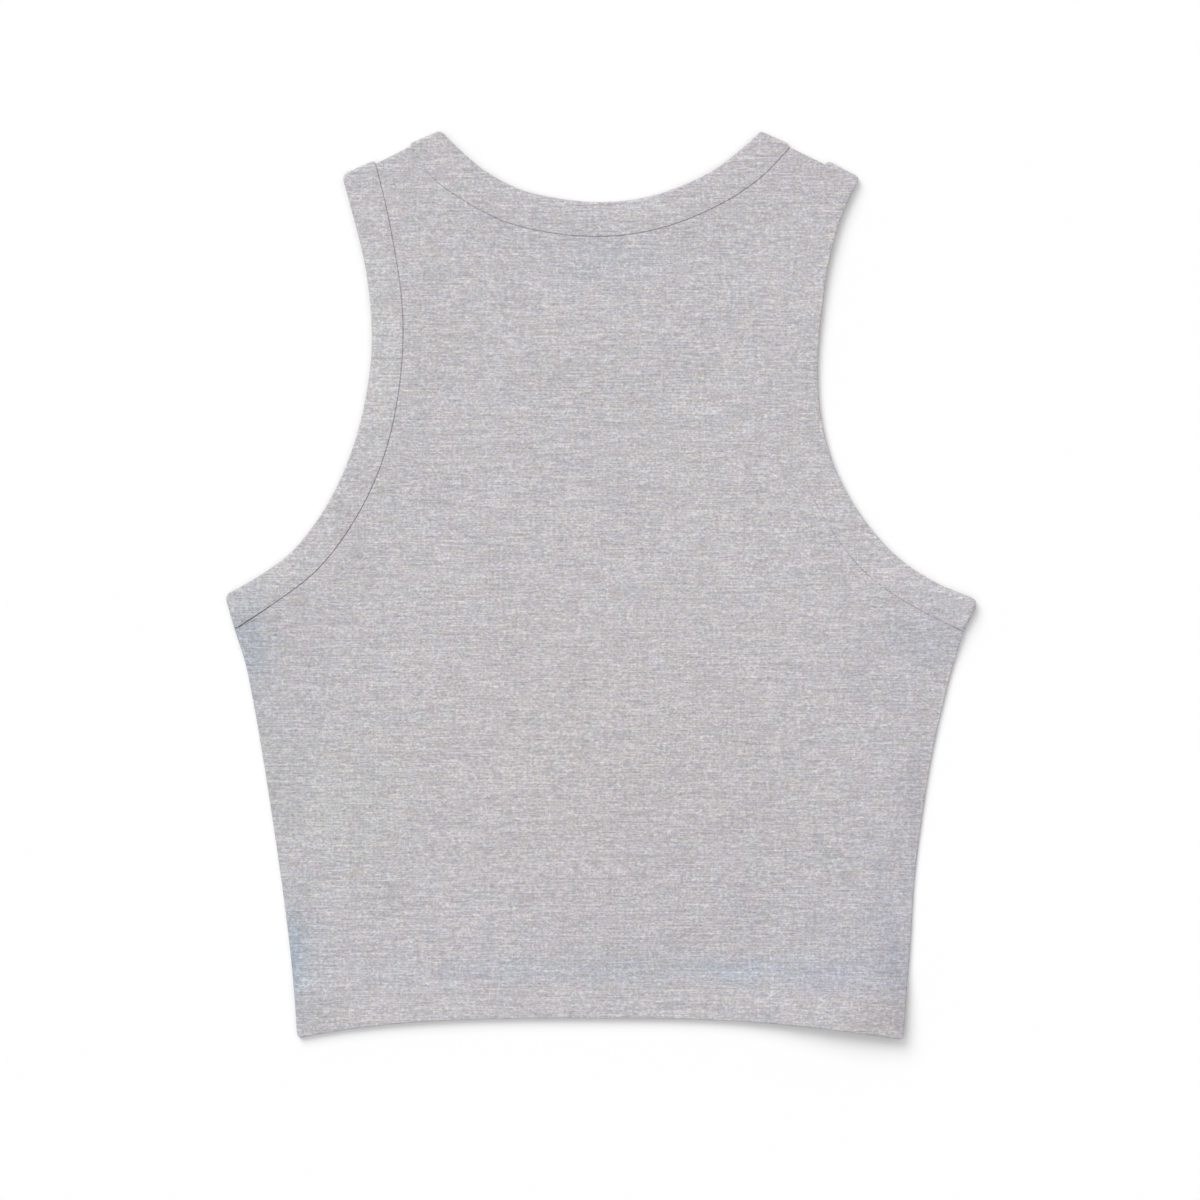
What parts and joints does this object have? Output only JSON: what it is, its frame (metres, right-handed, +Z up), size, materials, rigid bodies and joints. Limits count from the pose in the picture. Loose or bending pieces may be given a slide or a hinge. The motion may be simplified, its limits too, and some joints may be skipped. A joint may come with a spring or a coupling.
{
  "type": "cropped tank top",
  "caption": "Cropped sleeveless tank top in light grey heather jersey, laid flat with its back up. High scooped neck and deep armholes, bound with folded bands of the same cloth.",
  "frame": {"origin": "centre of the laid garment's outline, on the surface that it lies on", "axes": "+Y along the garment from hem to neck, +X to the right seen from above, +Z up, out of its back"},
  "size_m": [0.3803, 0.4596, 0.0044],
  "materials": {
    "jersey": "matt heather knit",
    "band_jersey": "matt heather knit, folded double"
  },
  "bodies": {
    "root": {"back_panel": "jersey", "front_panel": "jersey", "neck_band": "band_jersey", "arm_band_left": "band_jersey", "arm_band_right": "band_jersey"}
  },
  "joints": []
}
